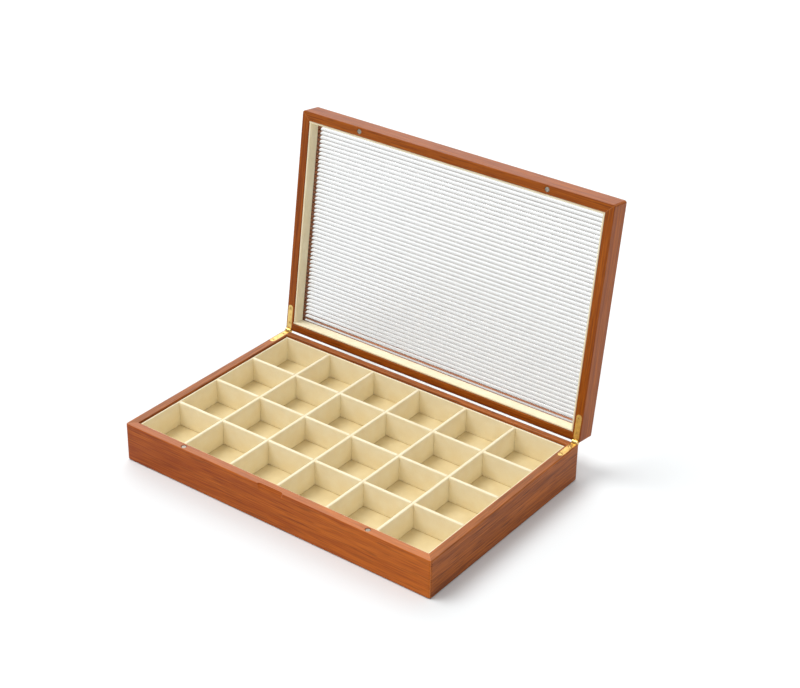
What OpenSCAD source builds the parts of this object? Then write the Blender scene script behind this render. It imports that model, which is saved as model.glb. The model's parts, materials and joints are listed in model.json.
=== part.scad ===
// Cufflink display box: a mitred wooden case with a velvet-lined grid of compartments
// and a hinged lid that holds a ribbed clear panel.
// Millimetres. X runs along the front, Y to the back, Z up; the origin is the centre of the underside.

/* [Case] */
// Width of the case along the front
body_w = 280; // [240:1:320]
// Depth of the case from front to back
body_d = 184.5; // [160:0.5:220]
// Height of the base from the table to its rim
base_h = 31.4; // [28:0.2:40]
// Height of the lid, from its mating face to its outer face
lid_h = 17.5; // [16:0.5:22]
// Thickness of every wooden rail
rail_t = 7; // [6:0.5:9]
// Gap between the rims when the lid is shut
lid_gap = 0.4; // [0.3:0.05:0.8]
// How far the lid swings open from shut, in degrees
open_angle = 97.84; // [92:0.02:97.84]

/* [Rounded edges] */
// Radius of the upright outer corners
corner_r = 2; // [1:0.5:3]
// Radius of the outer edges at the rims
rim_r = 0.8; // [0.4:0.1:1.2]
// Radius of the lowest and of the uppermost outer edges
foot_r = 1; // [0.5:0.1:2]
// Radius of the rear rim edges, which leaves room for the lid to swing
rear_r = 2.5; // [2:0.1:3]

/* [Underside] */
// Thickness of the felt under the case
felt_t = 1.5; // [1:0.1:2]
// Lift of the wood above the table, so that the case rests on its felt
felt_lift = 0.3; // [0.1:0.1:0.5]
// Thickness of the bottom panel
bottom_t = 4; // [3:0.5:6]
// Depth of the rebate that takes the bottom panel
rebate = 3.5; // [2:0.5:4]

/* [Compartments] */
// Compartments along the front
columns = 6; // [3:1:6]
// Compartments from front to back
rows = 4; // [2:1:4]
// Thickness of the velvet-covered floor board
floor_t = 4; // [3:0.5:6]
// Distance of the grid's top edges below the rim
grid_drop = 1.4; // [0.8:0.2:3]
// Thickness of the dividers, velvet included
divider_t = 2.8; // [2:0.2:4]
// Thickness of the velvet-covered liner boards
liner_t = 1.5; // [1:0.1:2]
// Gap between the liner boards and the wood
liner_gap = 0.3; // [0.2:0.1:0.5]

/* [Lid panel] */
// Height of the lid's liner above the mating face
lid_liner_h = 9.9; // [7:0.1:9.9]
// Thickness of the lid's liner strips
lid_liner_t = 1.8; // [1:0.1:2.4]
// Height of the rib crests above the mating face
panel_h = 10; // [10:0.2:13]
// Thickness of the panel without its ribs
sheet_t = 1.8; // [1.5:0.1:2.2]
// Height of the ribs
rib_h = 0.7; // [0.3:0.1:0.9]
// Distance from rib to rib
rib_pitch = 3.34; // [3:0.02:4.5]
// How far the panel reaches into the rails
panel_bite = 3; // [2:0.2:3.4]

/* [Hinges] */
// Distance of the hinge axis in from the rear face
axis_inset = 0.4; // [0.3:0.1:0.8]
// Width of a hinge leaf
leaf_w = 4.5; // [4.2:0.1:5]
// Length of a hinge leaf from the rear face to its round end
leaf_l = 22.5; // [20:0.5:26]
// Thickness of a hinge leaf
leaf_t = 1.8; // [1.6:0.1:1.8]
// Wood left between a leaf and the side of the case
leaf_margin = 1; // [0.9:0.1:1.4]
// Radius of the hinge barrel
barrel_r = 2; // [2:0.05:2.1]
// Radius of the hinge pin
pin_r = 0.6; // [0.5:0.05:0.7]
// Distance of the two screws from the rear face
screw_at = [7.2, 19.6];

/* [Magnets and finger scoop] */
// Distance of the magnets from the middle of the case
magnet_x = 84.5; // [60:0.5:100]
// Diameter of a magnet
magnet_d = 4; // [3:0.5:5]
// Thickness of a magnet
magnet_t = 3; // [2:0.5:4]
// How far a magnet is sunk below the wood
magnet_sunk = 0.4; // [0.2:0.1:0.6]
// Length of the finger scoop along the front rim
scoop_w = 24; // [16:1:40]
// How far the scoop cuts in from the front at the rim
scoop_in = 1.8; // [1:0.1:2.5]
// Height of the scoop down the front face
scoop_down = 5; // [3:0.5:8]
// Radius of the tool that cuts the scoop
scoop_r = 3.5; // [3:0.5:6]

/* [Hidden] */
$fn = 48;

// Colours as the real box shows them
wood = [0.66, 0.38, 0.22];
velvet = [0.93, 0.87, 0.70];
felt = [0.28, 0.2, 0.14];
brass = [0.86, 0.70, 0.38];
steel = [0.75, 0.75, 0.76];
clear = [0.93, 0.95, 0.96, 0.45];

// Half sizes of the case and the levels that its pieces meet at
half_w = body_w / 2;
half_d = body_d / 2;
bottom_z = felt_t + bottom_t;
floor_z = bottom_z + floor_t;
grid_top = base_h - grid_drop;
lid_z = base_h + lid_gap;
over = 1;

// Grid of compartments inside the liner boards
liner_in = rail_t + liner_gap;
grid_in = liner_in + liner_t;
grid_w = body_w - 2 * grid_in;
grid_d = body_d - 2 * grid_in;
pitch_x = (grid_w + divider_t) / columns;
pitch_y = (grid_d + divider_t) / rows;
divider_r = 0.9;
lap_gap = 0.05;

// Lid panel and its groove
groove_fit = 0.1;
groove_low = lid_z + panel_h - groove_fit;
groove_high = lid_z + panel_h + rib_h + sheet_t + groove_fit;
panel_in = rail_t - panel_bite;
panel_w = body_w - 2 * panel_in;
panel_d = body_d - 2 * panel_in;
rib_count = 2 * floor(panel_d / rib_pitch / 2);
rib_r = (pow(rib_pitch / 2, 2) + pow(rib_h, 2)) / (2 * rib_h);

// Hinge: the ears of the base leaf end in square stops that meet the lid leaf's shoulders
axis_y = half_d - axis_inset;
axis_z = base_h + lid_gap / 2;
leaf_end = leaf_l - axis_inset - leaf_w / 2;
ear_w = 1.25;
ear_gap = 0.1;
stop_gap = 0.05;
stop_y = barrel_r * (sin(open_angle) - cos(open_angle)) + stop_gap;
stop_sweep = barrel_r * sqrt(2) + 0.3;
pin_gap = 0.05;
pin_fit = 0.01;
seat_fit = 0.05;

// Small brass wood screw with a countersunk head
head_r = 1.4;
head_h = 0.9;
shank_r = 0.7;
shank_l = 6;
tip_l = 1;
recess_w = 0.4;
recess_l = 1.7;
screw_fit = 0.04;

// Plan shape of a corner that rounding takes away, with a margin outside it
module corner_waste(r) {
    difference() {
        translate([-over, -over]) square(r + over);
        translate([r, r]) circle(r);
    }
}

// Rectangle from the origin with a radius for each corner: near left, near right, far right, far left
module soft_rect(w, h, nl, nr, fr, fl) {
    difference() {
        square([w, h]);
        corner_waste(nl);
        translate([w, 0]) mirror([1, 0]) corner_waste(nr);
        translate([w, h]) rotate(180) corner_waste(fr);
        translate([0, h]) mirror([0, 1]) corner_waste(fl);
    }
}

// Outer form of the base or the lid, rounded seen from the side, from the front and from above
module case_block(z, h, low, high, rear_low, rear_high) {
    intersection() {
        translate([-half_w, 0, 0]) rotate([90, 0, 90]) linear_extrude(body_w)
            translate([-half_d, z]) soft_rect(body_d, h, low, rear_low, rear_high, high);
        translate([0, half_d, 0]) rotate([90, 0, 0]) linear_extrude(body_d)
            translate([-half_w, z]) soft_rect(body_w, h, low, low, high, high);
        translate([-half_w, -half_d, z]) linear_extrude(h)
            soft_rect(body_w, body_d, corner_r, corner_r, corner_r, corner_r);
    }
}

// Wedges that cut the case block into four mitred rails
module long_wedge(z, h) {
    reach = rail_t + over;
    translate([0, 0, z - over]) linear_extrude(h + 2 * over)
        polygon([
            [-half_w - over, -half_d - over], [half_w + over, -half_d - over],
            [half_w + over - reach, -half_d - over + reach],
            [-half_w - over + reach, -half_d - over + reach]
        ]);
}

module short_wedge(z, h) {
    reach = rail_t + over;
    translate([0, 0, z - over]) linear_extrude(h + 2 * over)
        polygon([
            [-half_w - over, -half_d - over], [-half_w - over, half_d + over],
            [-half_w - over + reach, half_d + over - reach],
            [-half_w - over + reach, -half_d - over + reach]
        ]);
}

module wedge(side, z, h) {
    if (side == "front") long_wedge(z, h);
    if (side == "rear") mirror([0, 1, 0]) long_wedge(z, h);
    if (side == "left") short_wedge(z, h);
    if (side == "right") mirror([1, 0, 0]) short_wedge(z, h);
}

// Rounds the inner edge that a rim or a lip shows, all round the opening; flip is for a downward rim
module inner_edge(z, r, flip = false) {
    turn = flip ? 1 : 0;
    for (side = [0, 1]) {
        mirror([0, side, 0]) translate([-half_w, -half_d + rail_t, z]) mirror([0, 0, turn])
            rotate([90, 0, 90]) linear_extrude(body_w) rotate(180) corner_waste(r);
        mirror([side, 0, 0]) translate([-half_w + rail_t, half_d, z]) mirror([0, 0, turn])
            rotate([90, 0, 0]) linear_extrude(body_d) rotate(180) corner_waste(r);
    }
}

// Places something at the left hinge, at the right hinge or at both, with the axis as its origin
module at_hinge(side) {
    x = side == "left" ? -half_w + leaf_margin : half_w - leaf_margin - leaf_w;
    translate([x, axis_y, axis_z]) children();
}

module at_both_hinges() {
    at_hinge("left") children();
    at_hinge("right") children();
}

// Outline of a hinge leaf up to the axis, grown by a margin, as tall as asked
module leaf_plate(h, grow = 0) {
    translate([-grow, -leaf_end, 0]) cube([leaf_w + 2 * grow, leaf_end, h]);
    translate([leaf_w / 2, -leaf_end, 0]) cylinder(r = leaf_w / 2 + grow, h = h);
}

// Room in the base rails for a leaf, its barrel and its screws
module base_pocket() {
    floor = -lid_gap / 2 - leaf_t;
    translate([0, 0, floor]) leaf_plate(leaf_t + over, seat_fit);
    translate([-seat_fit, -barrel_r - 0.5, -barrel_r - 0.3])
        cube([leaf_w + 2 * seat_fit, 2 * barrel_r + over, 2 * barrel_r + over]);
    for (y = screw_at) translate([leaf_w / 2, axis_inset - y, -lid_gap / 2]) screw_hole(shank_l + tip_l + 1);
}

// Room in the lid rails, which must also let the stop corners swing past
module lid_pocket() {
    ceiling = lid_gap / 2 + leaf_t;
    translate([0, 0, lid_gap / 2 - over]) leaf_plate(leaf_t + over, seat_fit);
    translate([-3 * seat_fit, -stop_sweep, -over])
        cube([leaf_w + 6 * seat_fit, stop_sweep + axis_inset + over, stop_sweep + over]);
    for (y = screw_at) translate([leaf_w / 2, axis_inset - y, lid_gap / 2]) mirror([0, 0, 1])
        screw_hole(shank_l + tip_l + 1);
}

// Countersunk screw, its head flush with z = 0 and its point down
module screw() {
    difference() {
        union() {
            translate([0, 0, -head_h]) cylinder(r1 = shank_r, r2 = head_r, h = head_h);
            translate([0, 0, -head_h - shank_l]) cylinder(r = shank_r, h = shank_l);
            translate([0, 0, -head_h - shank_l - tip_l]) cylinder(r1 = 0.1, r2 = shank_r, h = tip_l);
        }
        translate([-recess_l / 2, -recess_w / 2, -0.5]) cube([recess_l, recess_w, over]);
        translate([-recess_w / 2, -recess_l / 2, -0.5]) cube([recess_w, recess_l, over]);
    }
}

module screw_hole(depth) {
    translate([0, 0, -depth]) cylinder(r = shank_r + screw_fit, h = depth + over);
    translate([0, 0, -head_h - screw_fit])
        cylinder(r1 = shank_r + screw_fit, r2 = head_r + 2 * screw_fit, h = head_h + 2 * screw_fit);
}

module magnet_seats(z, up) {
    for (x = [-magnet_x, magnet_x]) translate([x, -half_d + rail_t / 2, z]) mirror([0, 0, up ? 0 : 1])
        translate([0, 0, -over]) cylinder(d = magnet_d + 2 * seat_fit, h = magnet_sunk + magnet_t + over);
}

module magnets(z, up) {
    for (x = [-magnet_x, magnet_x]) translate([x, -half_d + rail_t / 2, z]) mirror([0, 0, up ? 0 : 1])
        translate([0, 0, magnet_sunk]) cylinder(d = magnet_d, h = magnet_t);
}

// Shallow scoop in the front rim: a round tool leans in at the top, runs along and runs out down the face
module finger_scoop() {
    run = scoop_w / 2 - sqrt(pow(scoop_r, 2) - pow(scoop_r - scoop_in, 2));
    translate([0, -half_d + scoop_in, base_h]) rotate([-atan(scoop_in / scoop_down), 0, 0])
        translate([0, -scoop_r, -2 * scoop_down]) {
            translate([-run, -scoop_r, 0]) cube([2 * run, 2 * scoop_r, 4 * scoop_down]);
            for (x = [-run, run]) translate([x, 0, 0]) cylinder(r = scoop_r, h = 4 * scoop_down);
        }
}

// One mitred rail of the base, with its rebate, rim and hinge seats
module base_rail(side) {
    color(wood) difference() {
        intersection() {
            case_block(felt_lift, base_h - felt_lift, foot_r, rim_r, foot_r, rear_r);
            wedge(side, felt_lift, base_h);
        }
        translate([-half_w + rail_t - rebate, -half_d + rail_t - rebate, -over])
            cube([body_w - 2 * (rail_t - rebate), body_d - 2 * (rail_t - rebate), bottom_z + over]);
        inner_edge(base_h, 0.6);
        if (side == "front") {
            magnet_seats(base_h, false);
            finger_scoop();
        }
        if (side != "front") at_both_hinges() base_pocket();
    }
}

// One mitred rail of the lid, with the groove that holds the panel
module lid_rail(side) {
    color(wood) difference() {
        intersection() {
            case_block(lid_z, lid_h, rim_r, foot_r, rear_r, foot_r);
            wedge(side, lid_z, lid_h);
        }
        translate([-half_w + panel_in - groove_fit, -half_d + panel_in - groove_fit, groove_low])
            cube([panel_w + 2 * groove_fit, panel_d + 2 * groove_fit, groove_high - groove_low]);
        inner_edge(lid_z, 0.5, true);
        inner_edge(lid_z + lid_h, 0.7);
        if (side == "front") magnet_seats(lid_z, true);
        if (side != "front") at_both_hinges() lid_pocket();
    }
}

// The lid's pieces are drawn shut and swung open about the hinge axis
module swung_open() {
    translate([0, axis_y, axis_z]) rotate([-open_angle, 0, 0]) translate([0, -axis_y, -axis_z]) children();
}

module bottom_panel() {
    inset = rail_t - rebate + 0.1;
    color(wood) translate([-half_w + inset, -half_d + inset, felt_t])
        cube([body_w - 2 * inset, body_d - 2 * inset, bottom_t]);
}

module base_felt() {
    inset = rail_t - rebate + 0.3;
    color(felt) translate([-half_w + inset, -half_d + inset, 0]) linear_extrude(felt_t)
        soft_rect(body_w - 2 * inset, body_d - 2 * inset, 1, 1, 1, 1);
}

module floor_board() {
    inset = rail_t + 0.1;
    color(velvet) translate([-half_w + inset, -half_d + inset, bottom_z])
        cube([body_w - 2 * inset, body_d - 2 * inset, floor_t]);
}

// Upright board along X with a rounded top edge, centred on y = 0 and x = 0
module board_x(l, t, z0, z1, r) {
    translate([-l / 2, 0, 0]) rotate([90, 0, 90]) linear_extrude(l)
        translate([-t / 2, z0]) soft_rect(t, z1 - z0, 0.1, 0.1, r, r);
}

module board_y(l, t, z0, z1, r) {
    rotate(90) board_x(l, t, z0, z1, r);
}

// Liner boards: the front and rear ones run right through, the side ones stand between them
module base_liner(side) {
    top_r = liner_t / 2 - 0.01;
    long = body_w - 2 * liner_in;
    off_y = half_d - liner_in - liner_t / 2;
    off_x = half_w - liner_in - liner_t / 2;
    color(velvet) {
        if (side == "front") translate([0, -off_y, 0]) board_x(long, liner_t, floor_z, grid_top, top_r);
        if (side == "rear") translate([0, off_y, 0]) board_x(long, liner_t, floor_z, grid_top, top_r);
        if (side == "left") translate([-off_x, 0, 0]) board_y(grid_d, liner_t, floor_z, grid_top, top_r);
        if (side == "right") translate([off_x, 0, 0]) board_y(grid_d, liner_t, floor_z, grid_top, top_r);
    }
}

// Places of the dividers, counted from the left and from the front
function column_x(i) = -grid_w / 2 - divider_t / 2 + i * pitch_x;
function row_y(j) = -grid_d / 2 - divider_t / 2 + j * pitch_y;

// Dividers half-lapped like an egg crate: the long ones are slotted from above, the short ones from below
module lengthwise_divider(j) {
    lap = (grid_top + floor_z) / 2;
    slot = divider_t + 2 * lap_gap;
    color(velvet) translate([0, row_y(j), 0]) difference() {
        board_x(grid_w, divider_t, floor_z, grid_top, divider_r);
        for (i = [1 : columns - 1])
            translate([column_x(i) - slot / 2, -divider_t, lap - lap_gap])
                cube([slot, 2 * divider_t, grid_top]);
    }
}

module crosswise_divider(i) {
    lap = (grid_top + floor_z) / 2;
    slot = divider_t + 2 * lap_gap;
    color(velvet) translate([column_x(i), 0, 0]) difference() {
        board_y(grid_d, divider_t, floor_z, grid_top, divider_r);
        for (j = [1 : rows - 1])
            translate([-divider_t, row_y(j) - slot / 2, 0])
                cube([2 * divider_t, slot, lap + lap_gap]);
    }
}

module base_magnets() {
    color(steel) magnets(base_h, false);
}

module lid_magnets() {
    color(steel) magnets(lid_z, true);
}

// Base leaf: a plate let into the rim and two ears that hold the pin
module hinge_leaf_base(side) {
    color(brass) at_hinge(side) difference() {
        union() {
            translate([0, 0, -lid_gap / 2 - leaf_t]) leaf_plate(leaf_t);
            rotate([0, 90, 0]) cylinder(r = barrel_r, h = leaf_w);
            cube([leaf_w, barrel_r, barrel_r]);
        }
        translate([ear_w, -barrel_r - 0.2, -barrel_r - over])
            cube([leaf_w - 2 * ear_w, 2 * barrel_r + over, 2 * barrel_r + 2 * over]);
        translate([-over, 0, 0]) rotate([0, 90, 0]) cylinder(r = pin_r + pin_fit, h = leaf_w + 2 * over);
        for (y = screw_at) translate([leaf_w / 2, axis_inset - y, -lid_gap / 2]) screw_hole(2 * leaf_t);
    }
}

// Lid leaf: a plate with one knuckle; its shoulders meet the stop corners when the lid is open
module hinge_leaf_lid(side) {
    knuckle_x = ear_w + ear_gap;
    color(brass) at_hinge(side) difference() {
        union() {
            translate([0, 0, lid_gap / 2]) leaf_plate(leaf_t);
            translate([knuckle_x, 0, 0]) rotate([0, 90, 0]) cylinder(r = barrel_r, h = leaf_w - 2 * knuckle_x);
        }
        for (x = [-over, leaf_w - knuckle_x])
            translate([x, -stop_y, -over]) cube([knuckle_x + over, stop_y + over, barrel_r + 2 * over]);
        translate([-over, 0, 0]) rotate([0, 90, 0]) cylinder(r = pin_r + pin_gap, h = leaf_w + 2 * over);
        for (y = screw_at) translate([leaf_w / 2, axis_inset - y, lid_gap / 2]) mirror([0, 0, 1])
            screw_hole(2 * leaf_t);
    }
}

module hinge_pin(side) {
    color(brass) at_hinge(side) rotate([0, 90, 0]) cylinder(r = pin_r, h = leaf_w);
}

module base_hinge_screws() {
    color(brass) at_both_hinges()
        for (y = screw_at) translate([leaf_w / 2, axis_inset - y, -lid_gap / 2]) screw();
}

module lid_hinge_screws() {
    color(brass) at_both_hinges()
        for (y = screw_at) translate([leaf_w / 2, axis_inset - y, lid_gap / 2]) mirror([0, 0, 1]) screw();
}

// Section of the panel: a flat sheet with a row of shallow round ribs on the side that faces in
module panel_section() {
    translate([-panel_d / 2, rib_h]) square([panel_d, sheet_t]);
    for (i = [0 : rib_count - 1])
        translate([(i - (rib_count - 1) / 2) * rib_pitch, rib_r]) intersection() {
            circle(rib_r);
            translate([-rib_pitch / 2, -rib_r - over]) square([rib_pitch, rib_h + over + 0.01]);
        }
}

module ribbed_panel() {
    color(clear) translate([-panel_w / 2, 0, lid_z + panel_h]) rotate([90, 0, 90])
        linear_extrude(panel_w) panel_section();
}

// Liner strips of the lid, glued to the rails below the panel
module lid_liner(side) {
    z0 = lid_z + 0.4;
    z1 = lid_z + lid_liner_h;
    r = lid_liner_t / 2 - 0.01;
    long = body_w - 2 * rail_t;
    short = body_d - 2 * (rail_t + lid_liner_t);
    off_y = half_d - rail_t - lid_liner_t / 2;
    off_x = half_w - rail_t - lid_liner_t / 2;
    color(velvet) translate([0, 0, z0 + z1]) mirror([0, 0, 1]) {
        if (side == "front") translate([0, -off_y, 0]) board_x(long, lid_liner_t, z0, z1, r);
        if (side == "rear") translate([0, off_y, 0]) board_x(long, lid_liner_t, z0, z1, r);
        if (side == "left") translate([-off_x, 0, 0]) board_y(short, lid_liner_t, z0, z1, r);
        if (side == "right") translate([off_x, 0, 0]) board_y(short, lid_liner_t, z0, z1, r);
    }
}

base_rail("front");  // base_front_rail
base_rail("rear");  // base_rear_rail
base_rail("left");  // base_left_rail
base_rail("right");  // base_right_rail
bottom_panel();
base_felt();
floor_board();
base_liner("front");  // base_liner_front
base_liner("rear");  // base_liner_rear
base_liner("left");  // base_liner_left
base_liner("right");  // base_liner_right
for (j = [1 : rows - 1])
    lengthwise_divider(j);
for (i = [1 : columns - 1])
    crosswise_divider(i);
base_magnets();
hinge_leaf_base("left");  // hinge_leaf_base_left
hinge_leaf_base("right");  // hinge_leaf_base_right
hinge_pin("left");  // hinge_pin_left
hinge_pin("right");  // hinge_pin_right
base_hinge_screws();
swung_open() lid_rail("front");  // lid_front_rail
swung_open() lid_rail("rear");  // lid_rear_rail
swung_open() lid_rail("left");  // lid_left_rail
swung_open() lid_rail("right");  // lid_right_rail
swung_open() ribbed_panel();
swung_open() lid_liner("front");  // lid_liner_front
swung_open() lid_liner("rear");  // lid_liner_rear
swung_open() lid_liner("left");  // lid_liner_left
swung_open() lid_liner("right");  // lid_liner_right
swung_open() lid_magnets();
swung_open() hinge_leaf_lid("left");  // hinge_leaf_lid_left
swung_open() hinge_leaf_lid("right");  // hinge_leaf_lid_right
swung_open() lid_hinge_screws();
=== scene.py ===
"""Looks of the cufflink display box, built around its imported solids, in metres."""

import json
import math

import bmesh
import bpy
from mathutils import Matrix, Vector, noise

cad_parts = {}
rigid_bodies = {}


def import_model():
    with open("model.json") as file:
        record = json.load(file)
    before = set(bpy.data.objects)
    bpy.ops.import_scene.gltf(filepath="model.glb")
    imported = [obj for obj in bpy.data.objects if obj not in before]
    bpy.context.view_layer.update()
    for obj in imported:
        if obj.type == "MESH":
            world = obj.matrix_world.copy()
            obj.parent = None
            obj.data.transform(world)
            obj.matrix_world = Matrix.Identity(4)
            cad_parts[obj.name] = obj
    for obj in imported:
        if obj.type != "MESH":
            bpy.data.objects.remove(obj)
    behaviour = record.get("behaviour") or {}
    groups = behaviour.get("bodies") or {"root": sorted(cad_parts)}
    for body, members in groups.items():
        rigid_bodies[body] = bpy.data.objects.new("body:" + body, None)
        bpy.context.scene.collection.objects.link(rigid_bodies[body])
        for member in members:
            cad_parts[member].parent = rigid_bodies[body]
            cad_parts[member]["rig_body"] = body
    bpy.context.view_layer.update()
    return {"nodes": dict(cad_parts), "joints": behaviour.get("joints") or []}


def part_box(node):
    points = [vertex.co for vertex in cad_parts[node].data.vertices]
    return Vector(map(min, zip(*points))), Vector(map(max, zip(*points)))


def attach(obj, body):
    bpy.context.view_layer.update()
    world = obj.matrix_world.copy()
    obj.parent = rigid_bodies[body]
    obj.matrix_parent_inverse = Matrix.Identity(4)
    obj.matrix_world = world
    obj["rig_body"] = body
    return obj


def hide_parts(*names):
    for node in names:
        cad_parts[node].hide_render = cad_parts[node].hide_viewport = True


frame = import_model()

MM = 0.001
QUARTER = math.pi / 2

# Quarter turns from the front to each side
SIDES = {"front": 0, "right": 1, "rear": 2, "left": 3}

# Which side of the middle each hinge is on
HINGES = {"left": -1, "right": 1}


# Sizes that the frame gives

hinge = frame["joints"][0]
AXIS = Vector(hinge["pos_m"])
OPEN_ANGLE = math.radians(hinge["range_deg"][1])
LID_SWING = (
    Matrix.Translation(AXIS)
    @ Matrix.Rotation(-OPEN_ANGLE, 4, "X")
    @ Matrix.Translation(-AXIS)
)


def shut_box(node):
    """Lowest and highest corner of a lid piece with the lid shut."""
    back = LID_SWING.inverted()
    points = [back @ v.co for v in frame["nodes"][node].data.vertices]
    return [Vector(pick(p[i] for p in points) for i in range(3)) for pick in (min, max)]


def made_box(node):
    """Box of a node as its piece is made: with the lid shut, where it is one of the lid's."""
    return shut_box(node) if frame["nodes"][node]["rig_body"] == "lid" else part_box(node)


side_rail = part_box("base_left_rail")
front_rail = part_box("base_front_rail")
HALF_W = -side_rail[0].x
HALF_D = -front_rail[0].y
RAIL = side_rail[1].x - side_rail[0].x
BASE_LOW = front_rail[0].z
BASE_TOP = front_rail[1].z
BOTTOM_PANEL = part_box("bottom_panel")
LID_LOW = shut_box("lid_front_rail")[0].z
LID_TOP = shut_box("lid_front_rail")[1].z
PANEL = shut_box("ribbed_panel")
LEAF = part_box("hinge_leaf_base_right")
LEAF_HALF = (LEAF[1].x - LEAF[0].x) / 2
LEAF_X = (LEAF[0].x + LEAF[1].x) / 2
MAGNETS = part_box("base_magnets")
MAGNET_D = MAGNETS[1].y - MAGNETS[0].y
MAGNET_T = MAGNETS[1].z - MAGNETS[0].z

# Sizes that repeat the construction's own

REBATE = 3.5 * MM
CORNER_R = 2 * MM
RIM_R = 0.8 * MM
FOOT_R = 1 * MM
REAR_R = 2.5 * MM
GROOVE_FIT = 0.1 * MM
SEAT_FIT = 0.05 * MM
SCOOP_W = 24 * MM
SCOOP_IN = 1.8 * MM
SCOOP_DOWN = 5 * MM
SCOOP_R = 3.5 * MM
MAGNET_SUNK = 0.4 * MM
LEAF_T = 1.8 * MM
BARREL_R = 2 * MM
STOP_SWEEP = BARREL_R * math.sqrt(2) + 0.3 * MM
EAR_W = 1.25 * MM
EAR_GAP = 0.1 * MM
EAR_BORE_R = 0.61 * MM
KNUCKLE_BORE_R = 0.65 * MM
SCREW_AT = (7.2 * MM, 19.6 * MM)
SCREW_HEAD_R = 1.4 * MM
SCREW_HEAD_H = 0.9 * MM
SCREW_CORE_R = 0.56 * MM
SCREW_CREST_R = 0.7 * MM
SCREW_LENGTH = 7.9 * MM
SHANK_HOLE_R = 0.74 * MM
SINK_R = 1.48 * MM
SINK_DEEP = 0.94 * MM
RIB_COUNT = 52
RIB_PITCH = 3.34 * MM
RIB_H = 0.7 * MM

# How far cutters reach past what they cut

OVER = 1 * MM
FAR_OVER = 9 * MM

# Fineness of the meshes

WELD = 0.0001 * MM
SHEET_WELD = 0.001 * MM
SLIVER = 0.003 * MM
BOARD_STEP = 3 * MM
FELT_STEP = 1.5 * MM
PILE_WAVE = 0.05 * MM
CORNER_STEPS = 6
RIB_STEPS = 12
ROUND_STEPS = 40


# Mesh helpers


def link(name, mesh, material):
    """New object at the origin with this mesh and material."""
    obj = bpy.data.objects.new(name, mesh)
    bpy.context.scene.collection.objects.link(obj)
    if material:
        mesh.materials.clear()
        mesh.materials.append(material)
    return obj


def from_bmesh(name, bm, material=None):
    """Object from a bmesh, its doubles merged and its faces turned outwards."""
    bmesh.ops.remove_doubles(bm, verts=bm.verts, dist=WELD)
    bmesh.ops.dissolve_degenerate(bm, edges=bm.edges, dist=WELD)
    bmesh.ops.recalc_face_normals(bm, faces=bm.faces)
    mesh = bpy.data.meshes.new(name)
    bm.to_mesh(mesh)
    bm.free()
    return link(name, mesh, material)


def applied(obj):
    """Turns the object's modifiers into its mesh."""
    graph = bpy.context.evaluated_depsgraph_get()
    mesh = bpy.data.meshes.new_from_object(obj.evaluated_get(graph))
    obj.modifiers.clear()
    obj.data = mesh
    return obj


def soften(obj, angle=32, weighted=True):
    """Smooth shading with crisp creases, flat faces kept flat beside their roundings."""
    obj.data.shade_smooth()
    obj.data.set_sharp_from_angle(angle=math.radians(angle))
    if weighted:
        obj.modifiers.new("flat faces", "WEIGHTED_NORMAL").keep_sharp = True
        applied(obj)
    return obj


def combine(obj, others, operation):
    """Works the other solids into the object and removes them."""
    for other in others:
        boolean = obj.modifiers.new("combine", "BOOLEAN")
        boolean.operation = operation
        boolean.solver = "EXACT"
        boolean.object = other
    applied(obj)
    for other in others:
        bpy.data.objects.remove(other)
    return obj


def cut(obj, cutters):
    """Takes the cutters out of the object."""
    return combine(obj, cutters, "DIFFERENCE")


def union(obj, others):
    """Makes the object and the others one solid."""
    return combine(obj, others, "UNION")


def bevelled(obj, width, angle):
    """Rounds edges crisper than the angle; slivers left by cuts go first, as they hold a bevel back."""
    bm = bmesh.new()
    bm.from_mesh(obj.data)
    bmesh.ops.remove_doubles(bm, verts=bm.verts, dist=SLIVER)
    bmesh.ops.dissolve_degenerate(bm, edges=bm.edges, dist=SLIVER)
    bm.to_mesh(obj.data)
    bm.free()
    bevel = obj.modifiers.new("edges", "BEVEL")
    bevel.width = width
    bevel.segments = 2
    bevel.limit_method = "ANGLE"
    bevel.angle_limit = math.radians(angle)
    bevel.harden_normals = False
    return applied(obj)


def arc(middle, radius, start, sweep, steps):
    """Points from a start angle through a sweep about the middle, both ends included."""
    angles = [start + sweep * k / steps for k in range(steps + 1)]
    return [(middle[0] + radius * math.cos(a), middle[1] + radius * math.sin(a)) for a in angles]


def circle(radius):
    """Points round a circle about the origin."""
    return arc((0, 0), radius, 0, 2 * math.pi, ROUND_STEPS)[:-1]


def rectangle(low, high, radius=0):
    """The (a, b, radius) corners of a rectangle, in order from its lowest."""
    corners = ((low[0], low[1]), (high[0], low[1]), (high[0], high[1]), (low[0], high[1]))
    return [(a, b, radius) for a, b in corners]


def rounded_outline(corners, steps=5):
    """Points round a polygon of (a, b, radius) corners, each radius laid in as an arc."""
    points = []
    for i, (a, b, radius) in enumerate(corners):
        here = Vector((a, b))
        if radius <= 0:
            points.append(here)
            continue
        before = (Vector(corners[i - 1][:2]) - here).normalized()
        after = (Vector(corners[(i + 1) % len(corners)][:2]) - here).normalized()
        half = before.angle(after) / 2
        middle = here + (before + after).normalized() * (radius / math.sin(half))
        start = here + before * (radius / math.tan(half)) - middle
        sweep = start.angle_signed(here + after * (radius / math.tan(half)) - middle)
        for k in range(steps + 1):
            turn = Matrix.Rotation(-sweep * k / steps, 2)
            points.append(middle + turn @ start)
    return points


def closed_skin(bm, rings):
    """Faces between each ring of vertices and the next, and one over each end."""
    bm.faces.new(rings[0])
    bm.faces.new(rings[-1])
    for a, b in zip(rings, rings[1:]):
        for i in range(len(a)):
            j = (i + 1) % len(a)
            bm.faces.new((a[i], a[j], b[j], b[i]))


def prism(name, outline, place, height, material=None):
    """Closed prism: outline points (a, b) put in space by place(a, b, c) for c at 0 and at height."""
    bm = bmesh.new()
    closed_skin(bm, [[bm.verts.new(place(p[0], p[1], c)) for p in outline] for c in (0, height)])
    return from_bmesh(name, bm, material)


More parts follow.
